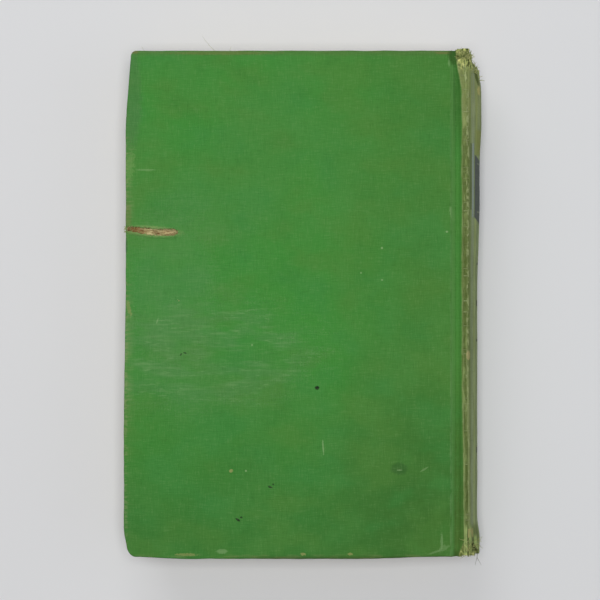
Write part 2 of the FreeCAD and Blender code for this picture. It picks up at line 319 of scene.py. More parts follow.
def paint_rubs(f, upper):
    """Rubbed streaks beside the fore-edge, bare thread along the edges, a darker olive band along
    the head, and painted shade along the tail edge.
    """
    long_streak = f.cloud((12, 1.3, 6), 3.0, 4.0).rise(0.5, 0.7)
    short_streak = f.cloud((4.5, 0.8, 3), 3.0, 6.0).rise(0.56, 0.7)
    gathered = f.cloud((16, 5, 8), 2.0, 19.0).rise(0.4, 0.6, 0.25, 1.0)
    streaks = f.most(long_streak * 0.75, short_streak) * gathered
    upper_rub = f.spot(-50, 18, 70, 60, 0.7) * 0.25
    amount = f.most(f.spot(-44, -20, 96, 46, 0.7), upper_rub) * upper
    f.paint(amount * gathered * 0.4, 80, 128, 74)
    f.paint(amount * streaks * 0.65, 106, 150, 90)

    bare = f.cloud((3.0, 0.8, 2.0), 3.0, 7.0).rise(0.42, 0.62)
    places = f.y.band(42, 64, 8) + f.y.band(-42, 4, 12) * 0.8 + f.y.band(30, 40, 4) * 0.7
    side = f.x.fall(FORE, FORE + 4.5) * (places * 0.55 + 0.15)
    f.paint(side * (bare * 0.5 + 0.15), 126, 142, 92)
    f.paint(f.x.fall(FORE + 0.2, FORE + 1.2) * bare * 0.3, 140, 146, 104)
    bitten = f.cloud((5.0, 1.0, 2.0), 3.0, 9.0).rise(0.46, 0.62)
    f.paint(f.y.size().rise(HEAD - 1.4, HEAD - 0.1) * bitten * 0.45, 118, 132, 82)

    f.paint(f.y.rise(HEAD - 3.0, HEAD - 0.6) * upper * 0.4, 84, 102, 58)
    # painted shade: the tail edge of the cover darkened as if in shadow from light on the head side
    f.paint(f.y.fall(TAIL - 0.6, TAIL + 1.0) * f.x.band(-10, EDGE, 30) * 0.6, 58, 76, 36)
    f.paint(f.spot(FORE + 2.0, 86, 9, 44, 0.5) * upper * 0.4, 76, 110, 68)


def paint_marks(f, upper):
    """Stains, specks and scratches at their own places on the back cover.

    Each mark has its colour and strength, and then its place, size, raggedness and turn.
    """
    dark = (26, 32, 22)
    stain = (44, 84, 38)
    pale = (140, 172, 118)
    tan = (150, 150, 92)
    brown = (112, 108, 62)
    marks = [
        (dark, 0.95, 5.2, -34.9, 1.9, 1.6, 0.35),
        (dark, 0.9, -27.7, -89.6, 2.3, 0.9, 0.5, -35),
        (dark, 0.8, -26.2, -88.6, 1.1, 0.8, 0.5),
        (dark, 0.8, -14.3, -76.0, 2.2, 0.8, 0.5, -20),
        (dark, 0.7, -13.0, -74.9, 0.9, 0.7, 0.5),
        (dark, 0.7, -51.2, -21.0, 1.5, 0.7, 0.7, 50),
        (dark, 0.75, -49.6, -20.4, 1.6, 0.7, 0.7, -20),
        (tan, 0.7, -30.5, -69.3, 1.6, 1.4, 0.5),
        (pale, 0.6, -24.3, -69.3, 0.8, 0.8, 0.4),
        (stain, 0.5, 39.2, -68.4, 7.0, 5.0, 0.45),
        (pale, 0.4, 39.4, -69.0, 2.4, 0.6, 0.4),
        (pale, 0.3, 49.6, -68.7, 3.8, 0.7, 0.5, 32),
        (pale, 0.45, 7.7, -59.6, 0.7, 6.4, 0.6, 4),
        (pale, 0.55, 32.1, 23.1, 0.9, 0.9, 0.4),
        (pale, 0.5, 23.4, 12.8, 0.8, 0.8, 0.4),
        (pale, 0.5, 32.1, 9.9, 0.9, 0.7, 0.4),
        (pale, 0.6, 59.0, 29.9, 1.0, 0.8, 0.4),
        (pale, 0.45, -21.8, -17.1, 0.8, 0.8, 0.4),
        (pale, 0.3, 61.3, 37.2, 1.9, 6.4, 0.7, 14),
        ((150, 160, 104), 0.42, FORE + 11.2, 30.0, 23.4, 4.5, 0.3, -3.5),
        (pale, 0.3, 59.9, 100.0, 0.8, 3.6, 0.5),
        (pale, 0.25, 62.1, 93.2, 0.8, 3.0, 0.5),
        (pale, 0.35, -34.2, -102.7, 4.4, 2.0, 0.4),
        (tan, 0.45, -49.0, -104.0, 9.0, 1.1, 0.9),
        (tan, 0.6, -0.6, -103.8, 2.4, 1.3, 0.8),
        (tan, 0.6, 18.9, -103.8, 2.0, 1.2, 0.8),
        (pale, 0.3, 56.9, -98.6, 1.1, 6.4, 0.7),
        (pale, 0.22, 57.6, -101.4, 4.5, 2.2, 1.0, 24),
        (pale, 0.25, 54.0, -103.0, 5.5, 0.9, 0.8, 20),
        (brown, 0.6, -70.4, 104.4, 3.4, 1.6, 0.7),
        (brown, 0.35, -34.0, 104.0, 46.0, 1.5, 0.9),
        (brown, 0.5, 57.6, 104.0, 7.0, 1.0, 0.7),
        ((104, 112, 62), 0.35, FORE + 0.8, 36.5, 3.0, 11.0, 0.5),
        ((48, 74, 50), 0.45, FORE + 0.2, 24.0, 1.4, 7.0, 0.7),
        ((116, 156, 86), 0.3, FORE + 1.8, 57.0, 3.4, 13.0, 1.6, -8),
        ((92, 132, 82), 0.2, FORE + 19.0, 6.0, 36.0, 66.0, 0.9),
        (pale, 0.3, -65.9, 55.5, 7.5, 0.7, 0.6),
        (tan, 0.35, FORE + 1.4, -1.8, 1.6, 6.0, 1.4, 12),
        (pale, 0.35, -61.1, -7.2, 0.6, 2.4, 0.5, -18),
    ]
    for colour, strength, *shape in marks:
        f.paint(f.spot(*shape) * upper * strength, *colour)


def paint_groove(f, upper, broken):
    """The rubbed line along the board's edge, and the groove beside it, with painted light on its
    slope and floor, darker near the head, and painted shade at its root towards the tail.
    """
    line = f.x.band(EDGE + 0.4, EDGE + 1.1, 0.5) * broken.rise(0.3, 0.6)
    f.paint(line * (f.y.fall(-70, 20) * 0.14 + 0.17), 128, 166, 110)
    # painted light: the slope into the groove lightened against the shade that falls on it
    wall = f.x.band(EDGE + 1.1, EDGE + 2.1, 0.6)
    f.paint(wall * f.y.rise(-90, -10, 0.55, 0.75), 94, 150, 76)
    # painted light: the groove floor brightened near the hinge, mostly in the upper half, against
    # the shade of the shoulder's slope
    painted_light = f.x.band(EDGE + 2.6, HINGE, 0.6) * f.y.fall(60, 84)
    f.paint(painted_light * f.y.rise(-60, 10, 0.3, 1.0) * 0.6, 70, 130, 56)
    f.paint(f.x.band(EDGE + 1.8, HINGE - 0.9, 0.6) * f.y.rise(60, 84) * 0.5, 54, 100, 42)
    # painted shade: darker olive at the groove's root towards the tail
    root = f.x.band(EDGE + 2.6, HINGE + 0.2, 1.4) * f.y.fall(-105, -20)
    f.paint(root * broken.rise(0.3, 0.6, 0.3, 0.6), 76, 98, 42)
    f.paint(f.spot(EDGE + 1.8, HEAD - 1.5, 5.2, 8.5, 0.35) * upper * 0.7, 46, 80, 28)


def paint_shoulder(f, upper, streak, broken):
    """The worn shoulder: olive, with a dark line, a pale rubbed line and rungs of bare thread.

    The results are where the spine is, and what stands up where the cloth is worn.
    """
    spread = (f.y.rise(HEAD - 19, HEAD, 0.0, HEAD_FLARE)
              + f.y.rise(TAIL, TAIL + 7, TAIL_FLARE + TAIL_DRAW, 0.0)
              + f.y.rise(-85, -25, -TAIL_DRAW, 0.0))
    across = f.x + spread + f.cloud((4, 9, 4), 2.0, 13.0) - 0.5
    spine = across.rise(HINGE - 0.4, HINGE + 0.4)
    near_head = f.y.rise(62, 84)

    cover = f.colour
    f.colour = tint(98, 116, 60)
    f.paint(streak.rise(0.4, 0.6), 122, 138, 82)
    f.paint(f.x.rise(CREST_END + 0.6, CREST_END + 3.0) * 0.8, 140, 155, 112)
    f.paint(near_head * streak.rise(0.35, 0.6, 0.3, 0.75), 146, 156, 98)
    f.paint(f.cloud((3, 13, 3), 3.0, 20.0).rise(0.42, 0.6) * 0.4, 90, 102, 54)
    f.colour = f.mix(spine, cover, f.colour)

    left_edge = across.band(HINGE + 0.1, HINGE + 0.5, 0.4) * broken.rise(0.42, 0.62)
    f.paint(left_edge * 0.35, 138, 154, 104)
    dark_line = across.band(HINGE + 0.9, HINGE + 1.8, 0.5) * broken.rise(0.38, 0.6)
    dark_line = dark_line * (near_head * -0.7 + 1.0)
    f.paint(dark_line * 0.7, 74, 90, 38)
    dashes = f.cloud((2, 2.8, 2), 3.0, 16.0).rise(0.45, 0.58)
    dashes = f.most(dashes, f.y.fall(-40, 0) * 0.6)
    pale_line = across.band(HINGE + 2.1, HINGE + 3.0, 0.3) * dashes
    rungs = f.cloud((30, 0.75, 30), 1.0, 17.0).rise(0.62, 0.7)
    ladder = rungs * across.band(HINGE + 0.9, HINGE + 3.0, 0.3)
    bare = f.most(pale_line * 0.75, ladder * upper * 0.75)
    f.paint(bare, 154, 166, 114)
    f.paint(f.spot(CREST_END + 0.6, -21.4, 1.7, 4.0, 0.4) * upper * 0.7, 178, 166, 116)
    behind = f.x.band(HINGE + 3.3, HINGE + 4.2, 0.4) * streak.rise(0.35, 0.6)
    f.paint(behind * 0.45, 94, 108, 60)
    return spine, bare - dark_line * 0.8


def paint_print(f, spine, streak):
    """The printed fields of the spine, by the angle round it from its middle, in degrees."""
    turn = f.math("ARCTAN2", f.z - MID, f.x - SPINE_MIDDLE)
    turn = (turn * (180 / math.pi)).size()
    f.paint(turn.band(24.5, 28.5, 1.2) * streak.rise(0.3, 0.6) * spine * 0.5, 152, 164, 98)
    grey = turn.band(32.0, 37.0, 1.0) * streak.rise(0.35, 0.65, 1.0, 0.3)
    f.paint(grey * spine * 0.6, 132, 142, 120)
    slanted = f.y - turn * 0.14 + 3.5
    label = turn.fall(29.0, 30.5) * slanted.band(35.6, 61.5, 0.4)
    f.paint(label * streak.rise(0.25, 0.45, 0.8, 1.0) * spine * 0.94, 80, 85, 85)
    rule = turn.band(32.0, 35.0, 0.7) * f.y.band(36.5, 66.5, 0.8)
    f.paint(rule * spine * 0.8, 132, 144, 142)
    thin_rule = turn.band(36.5, 38.5, 0.7) * f.y.band(39.5, 66.5, 0.8)
    f.paint(thin_rule * spine * 0.6, 68, 78, 56)
    inner_rules = f.y.band(38.2, 38.7, 0.2) + f.y.band(58.4, 58.9, 0.2)
    f.paint(inner_rules * turn.fall(22.0, 23.0) * spine * 0.6, 132, 140, 118)
    for low, high in ((16.4, 17.2), (-0.9, 1.4), (-15.8, -15.0), (-62.6, -60.4)):
        tick = f.y.band(low, high, 0.2) * turn.fall(18.0, 19.0)
        f.paint(tick * spine * 0.75, 58, 62, 44)
    sunned = turn.fall(20.0, 34.0) * f.y.band(63, 72, 1.5)
    f.paint(sunned * spine * 0.7, 128, 136, 62)


def paint_torn_ends(f, spine, upper, broken):
    """Pleats, bare fibres and dark gaps at the torn head and the frayed tail, the gaps and two worn
    slits darkened with painted shade.

    The result is how far the pleats stand up, and the gaps go down.
    """
    pleated = f.y.fall(-94, -91) * spine * upper
    f.paint(pleated * 0.75, 88, 104, 50)
    outer = f.x.band(71.0, 72.4, 0.25) * f.y.fall(-98, -96)
    pleats = f.x.band(66.2, 67.6, 0.2) + f.x.band(68.6, 69.6, 0.2) + outer
    f.paint(pleated * pleats * 0.85, 150, 170, 104)
    tan = f.x.band(68.0, 70.2, 0.3) * f.y.band(-97.0, -93.8, 0.5) * pleated
    f.paint(tan * broken.rise(0.3, 0.6) * 0.8, 166, 158, 104)
    frayed = f.y.rise(HEAD - 9, HEAD - 5) + f.y.rise(TAIL + 2, TAIL + 6, 0.5, 0.0)
    frayed = frayed * spine
    fibres = f.cloud((1.0, 1.7, 1.0), 3.0, 15.0)
    f.paint(frayed * fibres.rise(0.44, 0.54) * 0.8, 178, 184, 108)
    f.paint(frayed * fibres.rise(0.56, 0.63) * 0.8, 224, 222, 148)
    # painted shade: dark in the gaps between the fibres
    pits = frayed * fibres.fall(0.36, 0.44)
    f.paint(pits * 0.85, 66, 72, 20)
    # painted shade: dark around the slit worn through near the tail
    f.paint(f.spot(71.0, -101.9, 1.5, 6.4, 0.2, 30) * upper * 0.95, 44, 52, 16)
    # painted shade: a dark slit near the head, shown by colour alone
    f.paint(f.spot(72.0, 94.6, 1.5, 6.6, 0.3, 18) * upper * 0.85, 70, 84, 34)
    f.paint(f.spot(73.4, 89.4, 2.2, 3.8, 0.6) * upper * 0.8, 178, 172, 104)
    return pleated * pleats - pits


def board_finish():
    """Grey-brown millboard with flecks in it."""
    f = Finish("bare_board", 0.9, (142, 124, 86))
    layers = f.cloud((5.0, 0.9, 3.0), 4.0, 21.0)
    flecks = f.cloud((0.6, 0.4, 0.6), 3.0, 22.0)
    f.paint(layers.rise(0.35, 0.65), 176, 160, 118)
    f.paint(flecks.rise(0.5, 0.7) * 0.5, 104, 84, 54)
    return f.done(f.relief(layers + flecks * 0.4, 0.5))


def torn_board_finish():
    """Torn layers of board: darker brown towards the floor as painted shade in the hollows, tan on
    top, browner beside the fore-edge.
    """
    f = Finish("torn_board", 0.9, (196, 184, 134))
    fibres = f.cloud((2.5, 0.5, 1.0), 3.0, 23.0)
    height = f.z.rise(TORN_FLOOR, TORN_FLOOR + 0.55)
    f.paint(f.x.fall(FORE + 4, FORE + 11), 146, 110, 66)
    f.paint(f.x.rise(FORE + 14, FORE + 17), 184, 164, 118)
    # painted shade: the lower the layer, the darker brown
    f.colour = f.mix(height, tint(104, 76, 42), f.colour)
    f.paint(fibres.rise(0.5, 0.66) * height * 0.5, 212, 202, 156)
    f.paint(fibres.fall(0.36, 0.44) * 0.45, 110, 80, 44)
    return f.done(f.relief(fibres, 0.3))


def leaves_finish():
    """The cut edges of the leaves: fine lines, browned from outside in."""
    f = Finish("leaf_edges", 0.85, (196, 178, 140))
    lines = f.cloud((40.0, 40.0, 0.16), 2.0, 31.0)
    sections = f.cloud((90.0, 90.0, 1.1), 1.0, 32.0)
    dust = f.cloud((16.0, 16.0, 5.0), 4.0, 33.0)
    f.paint(lines.rise(0.3, 0.7), 228, 214, 180)
    f.paint(sections.fall(0.3, 0.5) * 0.35, 160, 136, 96)
    f.paint(dust.rise(0.45, 0.75) * 0.4, 176, 150, 106)
    f.paint(f.cloud(1.8, 2.0, 34.0).rise(0.68, 0.74) * 0.5, 150, 112, 66)
    return f.done(f.relief(lines, 0.12))


def paper_finish(name, light, dark, spotted, follows=False):
    """Endpaper or lining paper: soft mottling, fibres and a few brown spots."""
    f = Finish(name, 0.82, light, follows)
    fibres = f.cloud((0.5, 2.2, 0.5), 2.0, 42.0)
    f.paint(f.cloud(45.0, 3.0, 41.0).rise(0.35, 0.75) * 0.5, *dark)
    f.paint(fibres.rise(0.45, 0.7) * 0.15, *dark)
    ends = f.y.size().rise(TEXT_HIGH.y - 9, TEXT_HIGH.y)
    f.paint((ends + f.x.fall(TEXT_LOW.x, TEXT_LOW.x + 8)) * 0.35, *spotted)
    f.paint(f.cloud(2.4, 2.0, 43.0).rise(0.66, 0.73) * 0.55, *spotted)
    return f.done(f.relief(fibres, 0.05))


def gauze_finish(name, follows=False):
    """Open-weave gauze stiffened with glue."""
    f = Finish(name, 0.8, (158, 140, 100), follows)
    wave = 2 * math.pi / 0.9
    threads = f.most(f.math("SINE", f.y * wave), f.math("SINE", (f.x + f.z) * wave))
    f.paint(threads.rise(0.2, 0.9), 206, 196, 166)
    return f.done(f.relief(threads, 0.15))


def thread_finish():
    """Bare cotton fibres with some of the green dye left in them."""
    f = Finish("frayed_thread", 0.85, (176, 180, 120))
    f.paint(f.cloud(1.5, 2.0, 51.0).rise(0.38, 0.62), 126, 138, 78)
    return f.done(f.relief(f.cloud(0.25, 1.0, 52.0), 0.05))


def dark_thread_finish():
    """The grey tacketing thread that hangs out of the tail."""
    f = Finish("grey_thread", 0.85, (96, 100, 88))
    twist = f.cloud((0.3, 0.6, 0.3), 2.0, 53.0)
    f.paint(twist, 150, 152, 136)
    return f.done(f.relief(twist, 0.05))


def slice_mesh(bm, axis, low, high, step, faces=None):
    """Cut across an axis at even steps, everywhere or only through the given faces."""
    count = max(1, round((high - low) / step))
    normal = Vector((0, 0, 0))
    normal[axis] = 1
    for number in range(1, count):
        place = normal * (low + (high - low) * number / count)
        geometry = bm.verts[:] + bm.edges[:] + bm.faces[:]
        if faces is not None:
            chosen = [face for face in bm.faces if faces(face.calc_center_median())]
            edges = {edge for face in chosen for edge in face.edges}
            geometry = list({v for face in chosen for v in face.verts}) + list(edges) + chosen
        bmesh.ops.bisect_plane(bm, geom=geometry, dist=1e-4, plane_co=place, plane_no=normal)


def flat_sheet(low_x, high_x, low_y, high_y, height, across=1, up=1):
    """A flat rectangle at a height, cut into cells across and up."""
    bm = bmesh.new()
    bmesh.ops.create_grid(bm, x_segments=across, y_segments=up, size=0.5)
    bmesh.ops.scale(bm, vec=(high_x - low_x, high_y - low_y, 1), verts=bm.verts)
    middle = ((low_x + high_x) / 2, (low_y + high_y) / 2, height)
    bmesh.ops.translate(bm, vec=middle, verts=bm.verts)
    return bm


def face_along(bm, direction):
    """Make the faces agree, and look the way that is given."""
    bmesh.ops.recalc_face_normals(bm, faces=bm.faces)
    if sum(face.normal.dot(direction) for face in bm.faces) < 0:
        bmesh.ops.reverse_faces(bm, faces=bm.faces)


def edges_where(bm, test):
    return [edge for edge in bm.edges if all(test(vertex.co) for vertex in edge.verts)]


def soften(bm, geometry, radius, segments, affect="EDGES"):
    bmesh.ops.bevel(bm, geom=geometry, offset=radius, offset_type="OFFSET", segments=segments,
                    profile=0.5, affect=affect, material=-1, clamp_overlap=affect == "EDGES")


def extrude(bm, edges, move):
    """Pull edges out to a new row whose places come from move, and return the new edges."""
    made = bmesh.ops.extrude_edge_only(bm, edges=edges)["geom"]
    for item in made:
        if isinstance(item, bmesh.types.BMVert):
            item.co = move(item.co)
    return [item for item in made if isinstance(item, bmesh.types.BMEdge)]


def flip_to_front(bm):
    """Mirror what was made for the back cover to the front cover."""
    turn = Matrix.Translation((0, 0, 2 * MID)) @ Matrix.Scale(-1, 4, (0, 0, 1))
    bmesh.ops.transform(bm, matrix=turn, verts=bm.verts)
    bmesh.ops.reverse_faces(bm, faces=bm.faces)


def add_mesh(bm, part):
    """Add a small mesh to a larger one."""
    mesh = bpy.data.meshes.new("part")
    part.to_mesh(mesh)
    part.free()
    bm.from_mesh(mesh)
    bpy.data.meshes.remove(mesh)


def finish_threads(bm, name, material, body):
    """Turn the fibres of one place into an object that rides on a body."""
    bmesh.ops.recalc_face_normals(bm, faces=bm.faces)
    piece = finish_piece(bm, name, material)
    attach(piece, body)


def finish_piece(bm, name, material, thickness=0.0, rounded=True):
    """Turn a mesh made in millimetres into an object in metres."""
    mesh = bpy.data.meshes.new(name)
    bm.to_mesh(mesh)
    bm.free()
    rest = mesh.attributes.new(REST_PLACE, "FLOAT_VECTOR", "POINT")
    for point, vertex in zip(rest.data, mesh.vertices):
        point.vector = vertex.co
    mesh.transform(Matrix.Scale(MM, 4))
    for face in mesh.polygons:
        face.use_smooth = rounded
    piece = bpy.data.objects.new(name, mesh)
    bpy.context.scene.collection.objects.link(piece)
    piece.data.materials.append(material)
    if thickness:
        solid = piece.modifiers.new("thickness", "SOLIDIFY")
        solid.thickness = thickness * MM
        solid.offset = -1
    return piece


def gash_half(x):
    """The middle and the half width of the gash at a distance across the cover."""
    along = (x - GASH_START) / GASH_LENGTH
    if not 0 <= along <= 1:
        return 0.0, -1.0
    middle = GASH_Y - 1.35 * smooth(0.0, 0.6, along)
    return middle, 1.05 + 0.5 * smooth(0.0, 0.4, along) - 0.8 * smooth(0.88, 1.0, along)


def in_gash(place):
    middle, half = gash_half(place.x)
    ragged = 0.35 * wander(place, 0.9, 3.0)
    return abs(place.y - middle) < half + ragged - 0.15


def make_torn_board():
    """Layers of the board torn into terraces on the floor of the gash."""
    bm = flat_sheet(FORE + 0.9, FORE + 23.4, 27.4, 33.0, TORN_FLOOR, 96, 24)
    for vertex in bm.verts:
        place = vertex.co.copy()
        slope = Vector((place.x / 4.2, place.y / 0.8, 0))
        layers = 2.4 * (0.7 + 0.9 * wander(slope, 1.0, 31.0) + 0.4 * wander(slope, 0.4, 32.0))
        middle, half = gash_half(place.x)
        inside = half - abs(place.y - middle)
        height = 0.24 * math.floor(max(0.0, min(layers, 2.9)))
        vertex.co.z += height * smooth(-0.6, 0.3, inside) + 0.03 * wander(place, 0.5, 33.0)
    piece = finish_piece(bm, "torn_board", TORN_BOARD_FINISH, 0.15)
    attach(piece, "back_cover")


def wear_cover(bm, side):
    """Small undulations all over a cover, and on the back its crooked edges and gashed lips."""
    for vertex in bm.verts:
        place = vertex.co.copy()
        if place.z > MID + 14.9 and place.x < EDGE:
            vertex.co.z += 0.12 * wander(place, 35.0, 1.0) + 0.05 * wander(place, 7.0, 2.0)
        rim = smooth(1.5, 0.0, min(place.x - FORE, HEAD - abs(place.y)))
        if place.x < EDGE - 2:
            vertex.co.y += 0.16 * rim * wander(place, 6.0, 4.0)
            vertex.co.x += 0.16 * rim * wander(place, 6.0, 5.0)
        if side == "back":
            bend_edges(vertex, place)
            middle, half = gash_half(place.x)
            near = smooth(1.5, 0.1, abs(abs(place.y - middle) - half)) if half > 0 else 0.0
            if place.z > TOP - 0.5:
                vertex.co.z += near * (0.45 + 0.4 * wander(place, 1.3, 6.0))


def bend_edges(vertex, place):
    """The fore-edge leans out towards the tail, and the tail edge sags in its middle."""
    fore = smooth(0.0, -60.0, place.x)
    vertex.co.x -= 0.8 * fore * smooth(20.0, -60.0, place.y)
    vertex.co.x += 1.5 * smooth(TAIL + 12, TAIL + 1, place.y) * smooth(FORE + 12, FORE, place.x)
    sag = smooth(FORE + 2, FORE + 26, place.x) * smooth(EDGE, EDGE - 40, place.x)
    vertex.co.y -= 0.9 * sag * smooth(-40.0, TAIL, place.y)


def tear_gash(bm):
    """Open the gash in the cloth, with finely cut and so ragged edges."""
    def near(place):
        return place.z > TOP - 0.3 and place.x < FORE + 25.5 and abs(place.y - 30) < 4.5

    slice_mesh(bm, 0, FORE, FORE + 24, 0.45, near)
    slice_mesh(bm, 1, 26.0, 34.0, 0.36, near)
    torn = [face for face in bm.faces if face.normal.z > 0.7
            and face.calc_center_median().z > TOP - 0.5 and in_gash(face.calc_center_median())]
    bmesh.ops.delete(bm, geom=torn, context="FACES")


def make_cover_cloth(side):
    """Cloth folded over a board, through the groove and up to the hinge line."""
    bm = bmesh.new()
    lean = LEAN if side == "back" else 0.0
    outline = [(EDGE + CLOTH, TAIL), (EDGE + CLOTH, HEAD), (FORE + lean, HEAD)]
    if lean:
        outline.append((FORE, HEAD - LEAN_REACH))
    outline.append((FORE, TAIL))
    corners = [bm.verts.new((x, y, TOP)) for x, y in outline]
    bm.faces.new(corners)
    for corner, radius in ((corners[2], 2.0), (corners[-1], FORE_CORNER[side])):
        soften(bm, [corner], radius, 6, "VERTICES")
    inner = edges_where(bm, lambda place: place.x > EDGE)
    rim = [edge for edge in bm.edges if edge not in inner]
    low_rim = extrude(bm, rim, lambda place: Vector((place.x, place.y, LOW.z)))

    def folded(place):
        half = HEAD - TURN_IN
        return Vector((max(place.x, FORE + TURN_IN), min(half, max(-half, place.y)), LOW.z))

    extrude(bm, low_rim, folded)
    wall = extrude(bm, inner, lambda place: Vector((EDGE + CLOTH + GROOVE_WALL, place.y, GROOVE)))
    rise = CREST - GROOVE
    floor = extrude(bm, wall, lambda place: Vector((HINGE - rise, place.y, GROOVE)))
    extrude(bm, floor, lambda place: Vector((HINGE, place.y, CREST)))
    soften(bm, [edge for edge in rim if edge.is_valid], 0.55, 3)
    soften(bm, edges_where(bm, lambda place: place.z > TOP - 0.01 and place.x > EDGE + 0.1), 0.9, 4)
    soften(bm, edges_where(bm, lambda place: abs(place.z - LOW.z) < 0.01
                           and (place.x < FORE + 5 or abs(place.y) > HEAD - 0.01)
                           and not (place.x > FORE + TURN_IN - 1 and abs(place.y) < HEAD - 1)),
           0.3, 2)
    soften(bm, edges_where(bm, lambda place: place.x > EDGE + 0.8 and place.x < HINGE - 0.5
                           and abs(place.z - GROOVE) < 0.01), 0.7, 3)
    slice_mesh(bm, 0, FORE, EDGE, 3.0)
    slice_mesh(bm, 0, EDGE + CLOTH, HINGE - BEND, 0.6)
    slice_mesh(bm, 0, HINGE - BEND, HINGE, 0.28)
    slice_mesh(bm, 1, TAIL, HEAD, 3.0)
    if side == "back":
        tear_gash(bm)
    wear_cover(bm, side)
    shape_joint(bm)
    if side == "front":
        flip_to_front(bm)
    piece = finish_piece(bm, f"{side}_cover_cloth", CLOTH_FINISH, CLOTH)
    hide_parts(f"{side}_cloth")
    blend_at_hinge(piece, side)


def shape_joint(bm):
    """The shoulder spreads over the groove at head and tail, and the groove is uneven."""
    for vertex in bm.verts:
        place = vertex.co.copy()
        if place.x < EDGE + 0.9:
            continue
        across = math.sin(math.pi * (place.x - EDGE - 0.9) / (HINGE - EDGE - 0.9))
        spread = smooth(HINGE - 1.2, HINGE, place.x + flare(place.y)) * (CREST - place.z)
        vertex.co.z += max(0.0, spread) * smooth(0.0, 0.5, flare(place.y))
        vertex.co.z += 0.15 * across * wander(place, 9.0, 7.0)
        reach = smooth(EDGE + 2.0, EDGE + 3.4, place.x) * smooth(HEAD - 1.5, HEAD, place.y)
        vertex.co.y += reach * (0.7 + 0.5 * wander(place, 0.8, 34.0))


def blend_at_hinge(piece, side):
    """Bake the piece's place into its mesh, for either cover.
    """
    if side == "front":
        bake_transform(piece)
    else:
        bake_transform(piece)


def waist(y):
    """How far the spine has sunk in at a height along it, below 0 where it bulges."""
    return WAIST * smooth(45.0, 5.0, y) * smooth(TAIL + 6, TAIL + 15, y) - BULGE * smooth(58, 76, y)


def tear_line(x):
    """Where the torn head of the spine ends, by how far out it is."""
    inward = SPINE - x
    line = HEAD + 0.6 - 2.2 * smooth(6.0, 5.0, inward) - 3.2 * smooth(5.0, 4.5, inward)
    line -= 2.6 * smooth(4.4, 1.7, inward)
    return line - 4.6 * smooth(1.6, 0.9, inward) - 3.6 * smooth(0.9, 0, inward)


def in_tail_hole(place, wider):
    """The slanting slit that is worn through near the tail, on the back cover's side."""
    if place.z < MID + 4:
        return False
    across = Vector((place.x - 70.9, place.y + 101.8, 0))
    along = Vector((0.5, -0.87, 0))
    run = across.dot(along)
    off = (across - along * run).length
    return abs(run) < 3.2 + wider and off < 0.5 + 0.11 * run + wider


def spin_strip(half_turn, radius, tail, head, steps):
    """A curved strip about the middle of the spine, from the back cover round to the front."""
    bm = bmesh.new()
    x = SPINE_MIDDLE + radius * math.cos(half_turn)
    z = MID + radius * math.sin(half_turn)
    ends = [bm.verts.new((x, y, z)) for y in (tail, head)]
    line = bm.edges.new(ends)
    bmesh.ops.subdivide_edges(bm, edges=[line], cuts=round((head - tail) / 1.5))
    bmesh.ops.spin(bm, geom=bm.verts[:] + bm.edges[:], cent=(SPINE_MIDDLE, 0, MID), axis=(0, 1, 0),
                   dvec=(0, 0, 0), angle=2 * half_turn, steps=steps, use_merge=False)
    bmesh.ops.remove_doubles(bm, verts=bm.verts, dist=1e-4)
    face_along(bm, Vector((1, 0, 0)))
    return bm


def sink_spine(bm):
    """The waist of the spine, crumpled ends and a slightly uneven surface."""
    for vertex in bm.verts:
        place = vertex.co.copy()
        out = smooth(CREST_END - 0.5, SPINE, place.x)
        vertex.co.x -= waist(place.y) * out
        away = Vector((place.x - SPINE_MIDDLE, 0, place.z - MID)).normalized()
        head = smooth(HEAD - 14, HEAD - 2, place.y)
        tail = smooth(TAIL + 14, TAIL + 3, place.y)
        upper = smooth(MID + 2, MID + 8, place.z)
        pleats = math.sin(2 * math.pi * (place.x + 0.15 * (place.y - TAIL)) / 2.4)
        push = 0.12 * wander(place, 12.0, 8.0)
        push += upper * (0.6 * head * wander(place, 1.7, 9.0) + 0.38 * tail * pleats)
        push += 0.35 * (head + tail * upper) * wander(place, 3.0, 10.0)
        in_fold = 66.1 < place.x < 67.7 and TAIL < place.y < TAIL + 13.3 and place.z > MID
        push += 0.35 if in_fold else 0.0
        vertex.co += away * push * smooth(HINGE, HINGE + 1.2, place.x)


def tear_head(bm, drop):
    """Remove what is torn away at the head and worn through at the tail, with ragged edges.

    The hole at the tail is wider by the given drop in the layer that ends lower at the head.
    """
    torn = []
    for face in bm.faces:
        place = face.calc_center_median()
        ragged = 0.9 * wander(place, 1.1, 11.0) + 0.5 * wander(place, 3.0, 12.0)
        fray = 0.25 * (1 + wander(place, 1.3, 13.0)) * smooth(MID, MID + 5, place.z)
        if place.y > tear_line(place.x) - drop + ragged or place.y < TAIL + fray:
            torn.append(face)
        elif in_tail_hole(place, drop):
            torn.append(face)
    bmesh.ops.delete(bm, geom=torn, context="FACES")


def make_spine_cloth():
    """The cloth of the spine, from one hinge line round to the other."""
    bm = spin_strip(SPINE_TURN, SPINE_ARC, TAIL, HEAD + 1.0, 72)
    for low, high in ((CREST - 0.01, CREST + 1), (-1, 2 * MID - CREST + 0.01)):
        side = edges_where(bm, lambda place: low < place.z < high)
        for reach in (0.7, 1.4, CREST_WIDTH):
            side = extrude(bm, side, lambda place: Vector((CREST_END - reach, place.y, place.z)))
    slice_mesh(bm, 1, HEAD - 18, HEAD, 0.5, lambda place: place.y > HEAD - 18)
    slice_mesh(bm, 1, TAIL, TAIL + 14, 0.5, lambda place: place.y < TAIL + 14)
    tear_head(bm, 0.0)
    fold_tail(bm)
    sink_spine(bm)
    piece = finish_piece(bm, "spine_case_cloth", CLOTH_FINISH, CLOTH)
    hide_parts("spine_cloth")
    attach(piece, "book_block")


